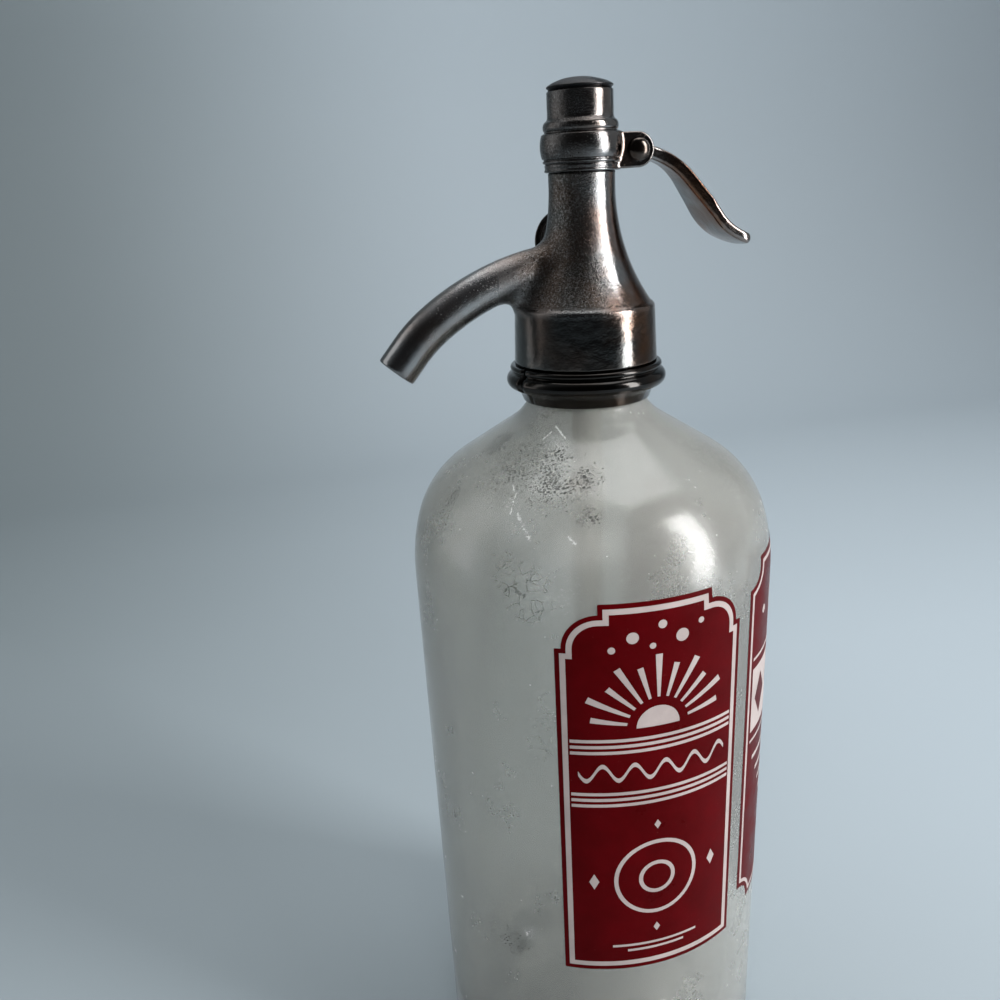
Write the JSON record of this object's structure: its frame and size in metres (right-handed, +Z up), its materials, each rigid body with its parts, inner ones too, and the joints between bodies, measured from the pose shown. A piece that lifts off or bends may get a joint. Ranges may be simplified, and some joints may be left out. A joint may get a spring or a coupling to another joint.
{
  "type": "soda siphon",
  "caption": "Pressure bottle of thick glass with a cast head, a curved spout and a thumb lever that lifts a sprung valve; a dip tube runs down inside.",
  "frame": {"origin": "centre of the bottle's rest ring, on the plane that it stands on", "axes": "+Z up along the bottle's axis, -X towards the spout, +X towards the lever, -Y towards the front of the bottle"},
  "size_m": [0.1033, 0.098, 0.2832],
  "materials": {
    "glass": "cloudy, scuffed, with red fired labels",
    "tube_glass": "clear",
    "pewter": "tarnished, cast and half polished",
    "dark_pewter": "darkly tarnished",
    "brass": "turned, dull",
    "steel": "turned",
    "rubber": "matt"
  },
  "bodies": {
    "bottle_and_head": {"bottle": "glass", "split_ring_front": "dark_pewter", "split_ring_back": "dark_pewter", "mouth_gasket": "rubber", "tube_ferrule": "brass", "tube_bush": "rubber", "dip_tube": "tube_glass", "head_gasket": "rubber", "head_body": "pewter", "valve_seat": "brass", "packing_washer": "brass", "stem_packing": "rubber", "gland_nut": "brass", "return_spring": "steel", "spring_cap": "pewter", "lever_pin": "dark_pewter", "side_plug": "pewter", "side_plug_washer": "rubber"},
    "valve": {"valve_stem": "steel", "valve_cup": "brass", "valve_rubber": "rubber"},
    "lever": {"lever": "pewter"}
  },
  "joints": [
    {"name": "lever_press", "type": "hinge", "parent": "bottle_and_head", "child": "lever", "pos_m": [0.0128, 0, 0.266], "axis": [0, 1, 0], "range_deg": [0, 12], "stiffness_Nm_per_rad": 0.27, "springref_deg": -40.39},
    {"name": "valve_lift", "type": "slide", "parent": "bottle_and_head", "child": "valve", "axis": [0, 0, 1], "range_m": [0, 0.002], "deforming": ["return_spring"]}
  ],
  "couplings": [
    {"joint": "valve_lift", "follows": "lever_press", "m_per_rad": 0.0095}
  ]
}
